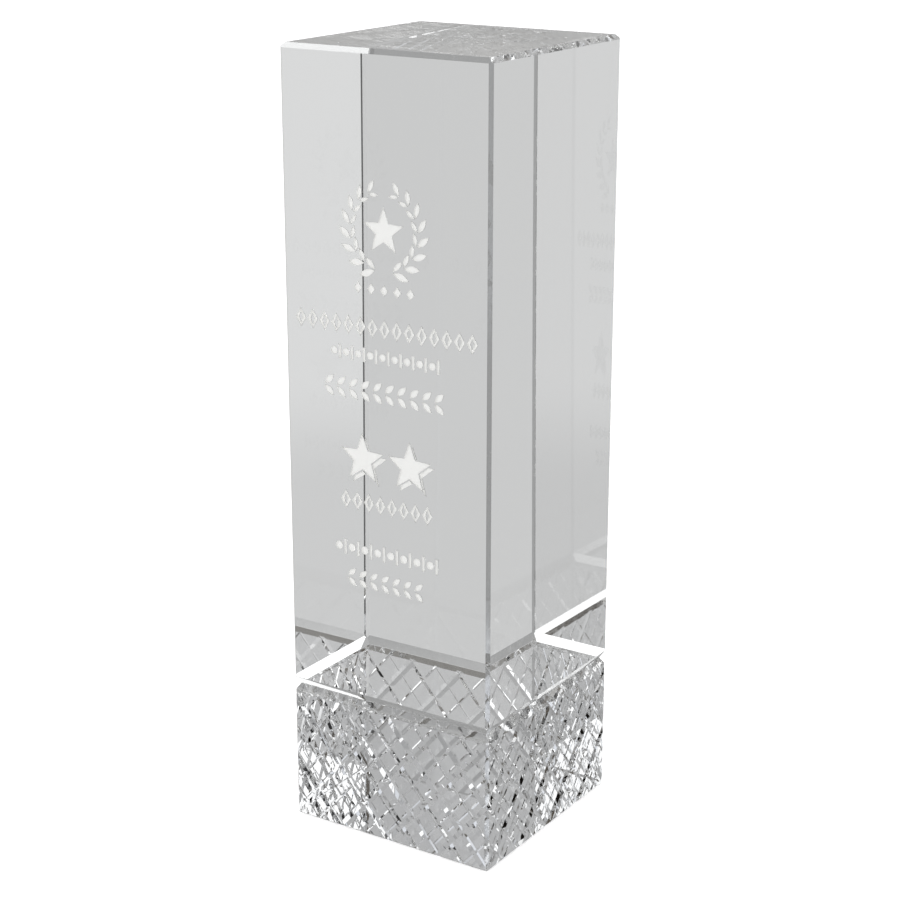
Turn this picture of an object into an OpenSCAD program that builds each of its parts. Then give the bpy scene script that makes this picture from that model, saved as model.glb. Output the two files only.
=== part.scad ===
/* [Blocks] */
// Width and depth of the square award
block_w = 60; // [50:1:80]
// Height of the whole award
total_h = 203; // [180:1:230]
// Height of the joint between the diamond-cut base and the clear tower
joint_h = 37.3; // [34:0.1:42]
// Thickness of the cured adhesive film in the joint
film_t = 0.1; // [0.05:0.05:0.3]

/* [Polished edges] */
// Leg of the chamfer on the four upright edges
side_chamfer = 0.85; // [0.5:0.05:1.2]
// Leg of the chamfer round the top face
top_chamfer = 1.2; // [0.5:0.1:2]
// Leg of the chamfer round the underside
foot_chamfer = 0.4; // [0.3:0.1:1.2]
// How far the two facets of the joint groove lean in
groove_depth = 1.4; // [1:0.05:1.6]
// Height of each facet of the joint groove
groove_rise = 2.15; // [1.5:0.05:2.5]

/* [Diamond cutting] */
// Large diamonds across one side of the base
diamonds_across = 4; // [2:1:6]
// Large diamonds from the underside to the joint groove
diamonds_up = 2; // [1:1:3]
// Width of the main wheel cuts
main_cut_w = 2.2; // [1.2:0.1:2.6]
// Depth of the main wheel cuts
main_cut_depth = 0.45; // [0.3:0.05:0.6]
// Width of the fine cuts that quarter each diamond
fine_cut_w = 0.7; // [0.4:0.1:1]
// Depth of the fine cuts
fine_cut_depth = 0.2; // [0.1:0.05:0.3]

/* [Engraving] */
// Depth of the sand-carved ornament
carve_depth = 0.3; // [0.2:0.05:0.5]
// Width of the ornament's thin strokes
stroke_w = 0.75; // [0.5:0.05:1]
// Height of the middle of the wreath
wreath_h = 160.5; // [155:0.5:165]
// Radius of the arc that the wreath's leaves spring from
wreath_r = 9.8; // [9:0.1:10.5]
// Leaf pairs on each side of the wreath
wreath_leaves = 8; // [5:1:8]
// Tip radius of the star in the wreath
wreath_star_r = 6.0; // [4:0.1:6.5]
// Height of the middle of the pair of stars
pair_h = 103; // [101:0.5:105]
// Tip radius of each star of the pair
pair_star_r = 6.6; // [5:0.1:7]
// Distance between the stars of the pair
pair_gap = 14; // [13.5:0.1:16]

/* [Hidden] */
$fn = 48;

half_w = block_w / 2;
half_diagonal = (block_w - side_chamfer) / sqrt(2);
over = 1;                                  // how far a cutting shape stands out of the glass
film_bottom = joint_h - film_t / 2;
film_top = joint_h + film_t / 2;
film_inset = groove_depth + 0.1;           // the film stops just short of the groove's valley

lattice_h = film_bottom - groove_rise;     // the lattice's upper nodes meet the groove
cut_pitch = block_w / diamonds_across;
cut_angle = atan2(lattice_h / diamonds_up, cut_pitch);
cut_length = 2 * (lattice_h + block_w);
cuts_per_way = diamonds_across + diamonds_up;

// Ornament rows: [height of the middle, whole width, row height, repeats]
small_row = [146.2, 19.0, 2.8, 5];
title_row = [136.6, 53.6, 4.8, 15];
bead_row_1 = [129.6, 32.4, 3.6, 9];
leaf_row_1 = [120.6, 36.0, 5.4, 10];
title_row_2 = [91.7, 27.8, 4.8, 8];
bead_row_2 = [79.0, 31.4, 4.0, 8];
leaf_row_2 = [71.2, 23.6, 4.8, 7];

star_waist = 0.42;                         // inner radius of a star as a share of its tip radius
shadow_shift = [1.0, -1.0];                // offset of the shadow line behind each large star
shadow_gap = 0.9;                          // growth of the star that is cut out of its shadow
wreath_start = -76;                        // angle of the lowest leaf pair, from the level
wreath_end = 62;                           // angle of the highest leaf pair
leaf_len = 4.8;
outer_lean = 34;                           // how far an outer leaf turns away from its arc
inner_lean = 30;
inner_share = 0.78;                        // length of an inner leaf beside its outer one
leaf_taper = 0.25;                         // how much shorter the highest leaves are
leaf_root = 0.3;                           // bare gap between a leaf and its arc
leaf_steps = 7;                            // points along each side of a leaf

// A solid with vertical sides at half width w, and bevels at its foot and its head
module slab(w, z_low, z_high, low, high) {
    rotate([90, 0, 0])
        linear_extrude(2 * block_w, center = true)
            polygon([
                [-w + low.x, z_low], [w - low.x, z_low], [w, z_low + low.y],
                [w, z_high - high.y], [w - high.x, z_high], [-w + high.x, z_high],
                [-w, z_high - high.y], [-w, z_low + low.y]
            ]);
}

// A square block with chamfered upright edges; low and high are [inset, rise] of its bevels
module bevelled_block(z_low, z_high, low, high) {
    intersection() {
        intersection_for(turn = [0, 90])
            rotate(turn) slab(half_w, z_low, z_high, low, high);
        translate([0, 0, z_low - over])
            linear_extrude(z_high - z_low + 2 * over)
                rotate(45) square(2 * half_diagonal, center = true);
    }
}

// One V-shaped wheel cut along X, with its mouth on the plane y = 0 and its valley towards +Y
module wheel_cut(width, depth) {
    mouth = width / 2 * (depth + over) / depth;
    rotate([90, 0, 90])
        linear_extrude(cut_length, center = true)
            polygon([[depth, 0], [-over, mouth], [-over, -mouth]]);
}

// All the cuts on the side that faces -Y
module side_cuts() {
    for (way = [-1, 1]) {
        for (i = [0 : cuts_per_way])
            translate([way * (half_w - i * cut_pitch), -half_w, lattice_h])
                rotate([0, way * cut_angle, 0])
                    wheel_cut(main_cut_w, main_cut_depth);
        for (i = [0 : cuts_per_way - 1])
            translate([way * (half_w - (i + 0.5) * cut_pitch), -half_w, lattice_h])
                rotate([0, way * cut_angle, 0])
                    wheel_cut(fine_cut_w, fine_cut_depth);
    }
}

module cut_base_block() {
    color("gainsboro", 0.6)
        difference() {
            bevelled_block(0, film_bottom, [foot_chamfer, foot_chamfer], [groove_depth, groove_rise]);
            for (turn = [0 : 90 : 270])
                rotate(turn) side_cuts();
        }
}

module bond_film() {
    color("white", 0.3)
        translate([0, 0, film_bottom])
            linear_extrude(film_t)
                square(2 * (half_w - film_inset), center = true);
}

// Flat shapes for the ornament, drawn with x across and y up

module star(r) {
    polygon([for (i = [0 : 9])
        (i % 2 == 0 ? r : r * star_waist) * [sin(i * 36), cos(i * 36)]]);
}

// A pointed leaf from the origin along +X
module leaf(length, width) {
    function side(way, i) = [length * i / leaf_steps, way * width / 2 * sin(180 * i / leaf_steps)];
    polygon([
        for (i = [0 : leaf_steps]) side(-1, i),
        for (i = [1 : leaf_steps - 1]) side(1, leaf_steps - i)
    ]);
}

module lozenge(w, h) {
    polygon([[-w / 2, 0], [0, -h / 2], [w / 2, 0], [0, h / 2]]);
}

// Places children along a row; row is [height, width, row height, repeats]
module along(row) {
    step = row[1] / row[3];
    translate([0, row[0]])
        for (i = [0 : row[3] - 1])
            translate([(i + 0.5) * step - row[1] / 2, 0]) children();
}

module lozenge_row(row) {
    step = row[1] / row[3];
    along(row) {
        difference() {
            lozenge(step * 0.86, row[2]);
            lozenge(step * 0.86 - 2.6 * stroke_w, row[2] - 2.6 * stroke_w);
        }
    }
}

module bead_row(row) {
    step = row[1] / row[3];
    bead_r = step * 0.27;
    along(row) {
        translate([-step * 0.18, 0]) circle(bead_r);
        translate([step * 0.3, 0]) square([stroke_w, row[2]], center = true);
    }
}

module leaf_row(row) {
    step = row[1] / row[3];
    along(row)
        for (side = [-1, 1])
            translate([-step / 2, side * stroke_w * 0.3])
                rotate(side * 42) leaf(row[2] * 0.66, row[2] * 0.3);
}

module wreath() {
    translate([0, wreath_h]) {
        star(wreath_star_r);
        for (side = [0, 1])
            mirror([side, 0])
                for (i = [0 : wreath_leaves - 1]) {
                    share = i / (wreath_leaves - 1);
                    length = leaf_len * (1 - leaf_taper * share);
                    rotate(wreath_start + share * (wreath_end - wreath_start))
                        translate([wreath_r, 0]) {
                            rotate(90 - outer_lean) translate([leaf_root, 0])
                                leaf(length, length * 0.38);
                            rotate(90 + inner_lean) translate([leaf_root, 0])
                                leaf(length * inner_share, length * 0.28);
                        }
                }
    }
}

module star_pair() {
    for (side = [-0.5, 0.5])
        translate([side * pair_gap, pair_h]) {
            star(pair_star_r);
            difference() {
                translate(shadow_shift) star(pair_star_r);
                star(pair_star_r + shadow_gap);
            }
        }
}

module ornament() {
    wreath();
    along(small_row) lozenge(small_row[2] * 0.8, small_row[2]);
    lozenge_row(title_row);
    bead_row(bead_row_1);
    leaf_row(leaf_row_1);
    star_pair();
    lozenge_row(title_row_2);
    bead_row(bead_row_2);
    leaf_row(leaf_row_2);
}

module tower_block() {
    color("whitesmoke", 0.6)
        difference() {
            bevelled_block(film_top, total_h, [groove_depth, groove_rise], [top_chamfer, top_chamfer]);
            translate([0, carve_depth - half_w, 0])
                rotate([90, 0, 0])
                    linear_extrude(carve_depth + over)
                        ornament();
        }
}

cut_base_block();
bond_film();
tower_block();
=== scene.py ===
import math

import bpy
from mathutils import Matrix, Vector


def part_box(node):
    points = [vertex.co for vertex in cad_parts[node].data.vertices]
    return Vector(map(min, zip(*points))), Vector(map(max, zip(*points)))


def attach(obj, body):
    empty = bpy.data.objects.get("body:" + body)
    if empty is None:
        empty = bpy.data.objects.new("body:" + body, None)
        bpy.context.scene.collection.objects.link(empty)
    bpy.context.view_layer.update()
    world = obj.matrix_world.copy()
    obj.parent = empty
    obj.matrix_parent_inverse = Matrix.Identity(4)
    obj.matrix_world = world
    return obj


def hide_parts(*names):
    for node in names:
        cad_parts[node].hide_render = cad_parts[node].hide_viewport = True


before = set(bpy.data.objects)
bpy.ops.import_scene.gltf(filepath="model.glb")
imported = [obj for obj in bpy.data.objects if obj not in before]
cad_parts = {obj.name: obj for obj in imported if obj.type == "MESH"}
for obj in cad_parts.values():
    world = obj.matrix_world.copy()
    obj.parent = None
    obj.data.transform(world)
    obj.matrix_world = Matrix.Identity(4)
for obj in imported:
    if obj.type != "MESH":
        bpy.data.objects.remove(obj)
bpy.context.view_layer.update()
print("frame loaded:", ", ".join(sorted(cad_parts)))

mm = 0.001
white = (1.0, 1.0, 1.0, 1.0)
scene = bpy.context.scene

# places that the looks hang on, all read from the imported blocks
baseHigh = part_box("cut_base_block")[1]
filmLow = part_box("bond_film")[0]
towerLow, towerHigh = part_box("tower_block")
blockWidth = towerHigh.x - towerLow.x


def linearColour(code):
    channels = [int(code[i:i + 2], 16) / 255 for i in (1, 3, 5)]
    return (*[c / 12.92 if c <= 0.04045 else ((c + 0.055) / 1.055) ** 2.4 for c in channels], 1.0)


# adds a node; an input is named or numbered, a socket given for it is linked, and a value is set on it
def addNode(tree, kind, inputs=None, **settings):
    node = tree.nodes.new(kind)
    for name, value in settings.items():
        setattr(node, name, value)
    for name, value in (inputs or {}).items():
        if isinstance(value, bpy.types.NodeSocket):
            tree.links.new(value, node.inputs[name])
        else:
            node.inputs[name].default_value = value
    return node


def maths(tree, operation, a, b=0.0):
    return addNode(tree, "ShaderNodeMath", {0: a, 1: b}, operation=operation).outputs["Value"]


def mixColours(tree, share, first, second):
    mix = addNode(tree, "ShaderNodeMix", {0: share, 6: first, 7: second}, data_type="RGBA")
    return mix.outputs[2]


def mixShaders(tree, share, first, second):
    return addNode(tree, "ShaderNodeMixShader", {0: share, 1: first.outputs[0], 2: second.outputs[0]})


def newMaterial(name):
    material = bpy.data.materials.new(name)
    material.use_nodes = True
    material.node_tree.nodes.clear()
    return material, material.node_tree


def showSurface(tree, shader):
    addNode(tree, "ShaderNodeOutputMaterial", {"Surface": shader.outputs[0]})


# bumps a shader with noise of a real size on the piece's own coordinates
def bumpSurface(tree, shader, size, height, detail):
    noise = addNode(tree, "ShaderNodeTexNoise", {
        "Vector": addNode(tree, "ShaderNodeTexCoord").outputs["Object"],
        "Scale": 1 / size,
        "Detail": detail,
    })
    bump = addNode(tree, "ShaderNodeBump", {
        "Height": noise.outputs["Fac"],
        "Distance": height,
        "Strength": 1.0,
    })
    tree.links.new(bump.outputs["Normal"], shader.inputs["Normal"])


# Optical crystal, ground and polished: water-clear, with hard bright edges and mirrored inner walls.
# The cut base is the same crystal as the tower, drawn with a darker tint: painted shade
polishedValues = {
    "towerTint": "#fbfcfc",
    # painted shade: the base's tint is darker than the tower's, though both are one crystal
    "baseShadeTint": "#dddedf",
    "bevelShadeTint": "#c8c9c9",         # painted shade: the bevels are the same crystal drawn with a darker tint than the faces
    "ior": 1.517,
    "roughness": 0.0,
    "waveSize": 2.4 * mm,           # slow waves that a hand-held polishing wheel leaves on a bevel
    "waveHeight": 0.006 * mm,
    "baseWaveHeight": 0.03 * mm,
}


def polishedCrystal(name, tint, waveHeight=0.0):
    material, tree = newMaterial(name)
    glass = addNode(tree, "ShaderNodeBsdfPrincipled", {
        "Base Color": linearColour(tint),
        "Roughness": polishedValues["roughness"],
        "IOR": polishedValues["ior"],
        "Transmission Weight": 1.0,
    })
    if waveHeight > 0:
        bumpSurface(tree, glass, polishedValues["waveSize"], waveHeight, detail=3.0)
    showSurface(tree, glass)
    return material


# The same crystal where abrasive grit has carved it: a white frost that still lets some light through
frostValues = {
    "colour": "#f6f6f4",
    "roughness": 0.65,
    "clearness": 0.25,
    "gritSize": 0.18 * mm,          # a little coarser than real grit, so that it shows
    "gritHeight": 0.03 * mm,
}


def frostedCrystal():
    material, tree = newMaterial("sandCarvedCrystal")
    frost = addNode(tree, "ShaderNodeBsdfPrincipled", {
        "Base Color": linearColour(frostValues["colour"]),
        "Roughness": frostValues["roughness"],
        "IOR": polishedValues["ior"],
        "Transmission Weight": frostValues["clearness"],
    })
    bumpSurface(tree, frost, frostValues["gritSize"], frostValues["gritHeight"], detail=2.0)
    showSurface(tree, frost)
    return material


# Crystal wetted by the cured adhesive: the two have one index, so light crosses the joint unbent
def bondedFace():
    material, tree = newMaterial("bondedJointFace")
    showSurface(tree, addNode(tree, "ShaderNodeBsdfTransparent"))
    return material


# how a block is dressed: where its bonded face, its carved recesses and its bevels are found
dressValues = {
    "weld": 0.002 * mm,
    "tolerance": 0.01 * mm,
    "edgeMargin": 3 * mm,           # nothing is carved nearer than this to an edge
    "carveDepth": 0.3 * mm,
    "bevelSlant": 0.85,             # a facet is a bevel if no part of its normal along an axis is longer
}


# welds a block's packed triangles, then gives each kind of face its own material: the finish that it was
# worked to, with painted shade in the bevels' darker tint
def dressingTree():
    tree = bpy.data.node_groups.new("dressBlock", "GeometryNodeTree")
    inputs = {}
    for kind, names in (
        ("Geometry", ["Geometry"]),
        ("Float", ["Weld", "Tolerance", "Bevel slant", "Joint height", "Joint reach", "Carved face",
                   "Carve depth", "Carve side", "Carve low", "Carve high"]),
        ("Material", ["Polished", "Bevelled", "Bonded", "Frosted"]),
    ):
        for name in names:
            socket = tree.interface.new_socket(name, in_out="INPUT", socket_type="NodeSocket" + kind)
            inputs[name] = socket.identifier
    tree.interface.new_socket("Geometry", in_out="OUTPUT", socket_type="NodeSocketGeometry")
    given = addNode(tree, "NodeGroupInput").outputs

    def axesOf(vector):
        return addNode(tree, "ShaderNodeSeparateXYZ", {"Vector": vector}).outputs

    def below(a, b):
        return maths(tree, "LESS_THAN", a, b)

    def allOf(first, *others):
        for test in others:
            first = maths(tree, "MULTIPLY", first, test)
        return first

    place = axesOf(addNode(tree, "GeometryNodeInputPosition").outputs["Position"])
    normal = addNode(tree, "GeometryNodeInputNormal").outputs["Normal"]
    lean = axesOf(addNode(
        tree, "ShaderNodeVectorMath", {0: normal}, operation="ABSOLUTE").outputs["Vector"])
    longest = maths(tree, "MAXIMUM", maths(tree, "MAXIMUM", lean["X"], lean["Y"]), lean["Z"])
    fromJoint = maths(tree, "ABSOLUTE", maths(tree, "SUBTRACT", place["Z"], given["Joint height"]))
    inward = maths(tree, "SUBTRACT", place["Y"], given["Carved face"])
    finishes = {
        "Bevelled": below(longest, given["Bevel slant"]),
        "Bonded": below(fromJoint, given["Joint reach"]),
        "Frosted": allOf(
            below(given["Tolerance"], inward),
            below(inward, given["Carve depth"]),
            below(maths(tree, "ABSOLUTE", place["X"]), given["Carve side"]),
            below(given["Carve low"], place["Z"]),
            below(place["Z"], given["Carve high"])),
    }
    shape = addNode(tree, "GeometryNodeMergeByDistance", {
        "Geometry": given["Geometry"], "Distance": given["Weld"]})
    shape = addNode(tree, "GeometryNodeSetShadeSmooth", {
        "Geometry": shape.outputs["Geometry"], "Shade Smooth": False})
    shape = addNode(tree, "GeometryNodeSetMaterial", {
        "Geometry": shape.outputs["Geometry"], "Material": given["Polished"]})
    for finish, selection in finishes.items():
        shape = addNode(tree, "GeometryNodeSetMaterial", {
            "Geometry": shape.outputs["Geometry"], "Selection": selection, "Material": given[finish]})
    addNode(tree, "NodeGroupOutput", {"Geometry": shape.outputs["Geometry"]})
    return tree, inputs


def dressedBlock(name, node, tree, inputs, settings):
    raw = bpy.data.objects.new(name + "Raw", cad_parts[node].data.copy())
    raw.data.materials.clear()
    scene.collection.objects.link(raw)
    dress = raw.modifiers.new("dress", "NODES")
    dress.node_group = tree
    for key, value in settings.items():
        dress[inputs[key]] = value
    bpy.context.view_layer.update()
    shape = bpy.data.meshes.new_from_object(
        raw.evaluated_get(bpy.context.evaluated_depsgraph_get()))
    bpy.data.objects.remove(raw)
    for attribute in ("custom_normal", "sharp_edge"):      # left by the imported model's shading
        if attribute in shape.attributes:
            shape.attributes.remove(shape.attributes[attribute])
    shape.update()
    piece = bpy.data.objects.new(name, shape)
    scene.collection.objects.link(piece)
    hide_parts(node)
    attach(piece, "root")
    print(name, "dressed:", len(shape.polygons), "faces")
    return piece


# the camera stands in front, to the right and above, in block widths from the middle of the underside
cameraValues = {
    "aside": 4.583,
    "back": 7.024,
    "up": 4.295,
    "heading": math.radians(33.2),
    "dip": math.radians(17.55),
    "lens": 82.18,
}


def placeCamera():
    data = bpy.data.cameras.new("camera")
    data.lens = cameraValues["lens"]
    camera = bpy.data.objects.new("camera", data)
    scene.collection.objects.link(camera)
    camera.location = blockWidth * Vector(
        (cameraValues["aside"], -cameraValues["back"], cameraValues["up"]))
    camera.rotation_euler = (math.pi / 2 - cameraValues["dip"], 0, cameraValues["heading"])
    scene.camera = camera


# a white sweep. What the glass mirrors and bends is a grey room with screens, soft boxes and flags:
# (heading, rise, half width, half height, brightness, tint), in degrees, where heading 0 is behind the
# award and 90 is at its right. A later one stands in front of an earlier one
studioValues = {
    "backdrop": 1.0,
    "soft": 1.15,
    "room": (0.45, "#ffffff"),
    "rim": 0.03,
    "nearest": 0.001,       # keeps what is behind a box out of it
    "boxes": (
        (-36, -17, 24, 14, 0.605, "#ffffff"),       # broad grey screens behind and in front
        (-36, 26, 30, 20, 0.60, "#ffffff"),
        (144, -20, 24, 18, 0.60, "#ffffff"),
        (144, 26, 30, 20, 0.50, "#ffffff"),
        (37, -22, 27, 20, 0.62, "#ffffff"),
        (-148, -24, 27, 18, 0.56, "#ffffff"),
        (36, -9, 24, 8, 0.725, "#ffffff"),
        (-149, -8, 22, 9, 0.645, "#ffffff"),
        (40, 22, 32, 18, 1.60, "#ffffff"),          # the two big soft boxes, high on either side
        (-150, 23, 29, 23, 1.60, "#ffffff"),
        (47, -37, 8, 5, 1.30, "#ffffff"),           # a low lamp for the bevels
        (0, -2, 8, 12, 0.60, "#ffffff"),            # small screens straight behind and at the left
        (-8, -15, 4, 10, 0.80, "#ffffff"),
        (-90, 0, 8, 18, 0.58, "#ffffff"),
        (-66, -6, 5, 30, 0.42, "#ffffff"),          # black flags and strip lights that draw the edges
        (-78, 4, 5, 36, 1.15, "#f6f9ff"),
        (-11, 31, 5, 17, 1.15, "#f6f9ff"),
        (-3, 31, 3, 17, 0.12, "#fff0dc"),
        (69, -8, 4, 32, 0.12, "#fff0dc"),
        (100, 6, 8, 34, 0.12, "#fff0dc"),
        (112, 12, 3, 26, 1.15, "#f6f9ff"),
        (124, -4, 4, 26, 0.08, "#ffffff"),
        (166, 0, 5, 36, 0.10, "#fff0dc"),
        (-178, -2, 5, 36, 0.90, "#f6f9ff"),
        (-112, 8, 10, 34, 0.12, "#fff0dc"),
    ),
}


def direction(heading, rise):
    a, e = math.radians(heading), math.radians(rise)
    return Vector((math.sin(a) * math.cos(e), math.cos(a) * math.cos(e), math.sin(e)))


def litColour(brightness, tint):
    return (*[brightness * channel for channel in linearColour(tint)[:3]], 1.0)


# how much of a box fills a direction: 1 inside its frame, 0 outside, soft at the rim
def boxMask(tree, sky, heading, rise, halfWidth, halfHeight):
    def along(axis):
        dot = addNode(tree, "ShaderNodeVectorMath", {0: sky, 1: axis}, operation="DOT_PRODUCT")
        return dot.outputs["Value"]

    ahead = maths(tree, "MAXIMUM", along(direction(heading, rise)), studioValues["nearest"])
    rim = studioValues["rim"]
    sides = []
    for axis, half in (
        (direction(heading + 90, 0), halfWidth),
        (direction(heading, rise + 90), halfHeight),
    ):
        reach = math.tan(math.radians(half))
        out = maths(tree, "ABSOLUTE", maths(tree, "DIVIDE", along(axis), ahead))
        sides.append(addNode(tree, "ShaderNodeMapRange", {
            "Value": out, "From Min": reach - rim, "From Max": reach + rim, "To Min": 1.0, "To Max": 0.0,
        }, interpolation_type="SMOOTHSTEP").outputs["Result"])
    return maths(tree, "MULTIPLY", *sides)


def lightStudio():
    world = bpy.data.worlds.new("studio")
    scene.world = world
    world.use_nodes = True
    tree = world.node_tree
    tree.nodes.clear()
    sky = addNode(tree, "ShaderNodeTexCoord").outputs["Generated"]
    level = litColour(*studioValues["room"])
    for *frameOfBox, brightness, tint in studioValues["boxes"]:
        level = mixColours(tree, boxMask(tree, sky, *frameOfBox), level, litColour(brightness, tint))
    room = addNode(tree, "ShaderNodeBackground", {"Color": level})
    soft = addNode(tree, "ShaderNodeBackground", {"Color": white, "Strength": studioValues["soft"]})
    plain = addNode(tree, "ShaderNodeBackground", {"Color": white, "Strength": studioValues["backdrop"]})
    path = addNode(tree, "ShaderNodeLightPath").outputs
    lit = mixShaders(tree, path["Is Diffuse Ray"], room, soft)
    seen = mixShaders(tree, path["Is Camera Ray"], lit, plain)
    addNode(tree, "ShaderNodeOutputWorld", {"Surface": seen.outputs[0]})


floorValues = {
    "reach": 12.0,
    "colour": "#f8f8f8",
    "glow": 0.35,               # the sweep is lit from below too, so it stays white right up to the foot
    "footShade": "#c9c6c1",     # what the underside looks down on: the floor that the award shades
    "drop": 0.05 * mm,          # keeps the floor clear of the underside
}


# the pale floor; the glass looks through it, to the room's lower half, dimmed where the award stands
def layFloor():
    reach = floorValues["reach"]
    corners = [(-reach, -reach, 0), (reach, -reach, 0), (reach, reach, 0), (-reach, reach, 0)]
    mesh = bpy.data.meshes.new("floor")
    mesh.from_pydata(corners, [], [(0, 1, 2, 3)])
    floor = bpy.data.objects.new("floor", mesh)
    scene.collection.objects.link(floor)
    floor.location.z = -floorValues["drop"]
    material, tree = newMaterial("paleSweep")
    place = addNode(tree, "ShaderNodeSeparateXYZ", {
        "Vector": addNode(tree, "ShaderNodeTexCoord").outputs["Object"]}).outputs
    across, along = [maths(tree, "ABSOLUTE", place[axis]) for axis in ("X", "Y")]
    outside = maths(tree, "GREATER_THAN", maths(tree, "MAXIMUM", across, along), blockWidth / 2)
    dimmed = mixColours(tree, outside, linearColour(floorValues["footShade"]), white)
    through = addNode(tree, "ShaderNodeBsdfTransparent", {"Color": dimmed})
    pale = addNode(tree, "ShaderNodeBsdfDiffuse", {"Color": linearColour(floorValues["colour"])})
    glow = addNode(tree, "ShaderNodeEmission", {"Strength": floorValues["glow"]})
    sweep = addNode(tree, "ShaderNodeAddShader", {0: pale.outputs[0], 1: glow.outputs[0]})
    cameraSees = addNode(tree, "ShaderNodeLightPath").outputs["Is Camera Ray"]
    showSurface(tree, mixShaders(tree, cameraSees, through, sweep))
    mesh.materials.append(material)


placeCamera()
lightStudio()
layFloor()
print("camera, studio and floor ready")

dressing, dressingInputs = dressingTree()
common = {
    "Weld": dressValues["weld"],
    "Tolerance": dressValues["tolerance"],
    "Bevel slant": dressValues["bevelSlant"],
    "Joint reach": dressValues["tolerance"],
    "Carved face": towerLow.y,
    "Carve side": towerHigh.x - dressValues["edgeMargin"],
    "Carve low": towerLow.z + dressValues["edgeMargin"],
    "Carve high": towerHigh.z - dressValues["edgeMargin"],
    "Bonded": bondedFace(),
    "Frosted": frostedCrystal(),
}
dressedBlock("crystalTower", "tower_block", dressing, dressingInputs, {
    **common,
    "Joint height": towerLow.z,
    "Carve depth": dressValues["carveDepth"] + dressValues["tolerance"],
    "Polished": polishedCrystal("polishedOpticalCrystal", polishedValues["towerTint"]),
    # the bevels' darker tint is painted shade; their slow polishing waves are real
    "Bevelled": polishedCrystal(
        "wheelPolishedShadedBevel", polishedValues["bevelShadeTint"], polishedValues["waveHeight"]),
})
dressedBlock("diamondCutBase", "cut_base_block", dressing, dressingInputs, {
    **common,
    "Joint height": baseHigh.z,
    # the base's crystal carries the darker tint, which is painted shade
    "Polished": polishedCrystal("shadedDiamondCutCrystal", polishedValues["baseShadeTint"]),
    # the base's bevels: the same darker tint, painted shade, with stronger polishing waves
    "Bevelled": polishedCrystal(
        "wheelPolishedShadedBaseBevel", polishedValues["bevelShadeTint"], polishedValues["baseWaveHeight"]),
})
dressedBlock("adhesiveFilm", "bond_film", dressing, dressingInputs, {
    **common,
    "Joint height": filmLow.z,
    "Joint reach": blockWidth,      # every face of the film is wetted
})

# light has to cross many inner walls before it leaves the glass
scene.view_settings.view_transform = "Standard"
scene.cycles.max_bounces = 32
scene.cycles.transmission_bounces = 32
scene.cycles.glossy_bounces = 16
scene.cycles.transparent_max_bounces = 32
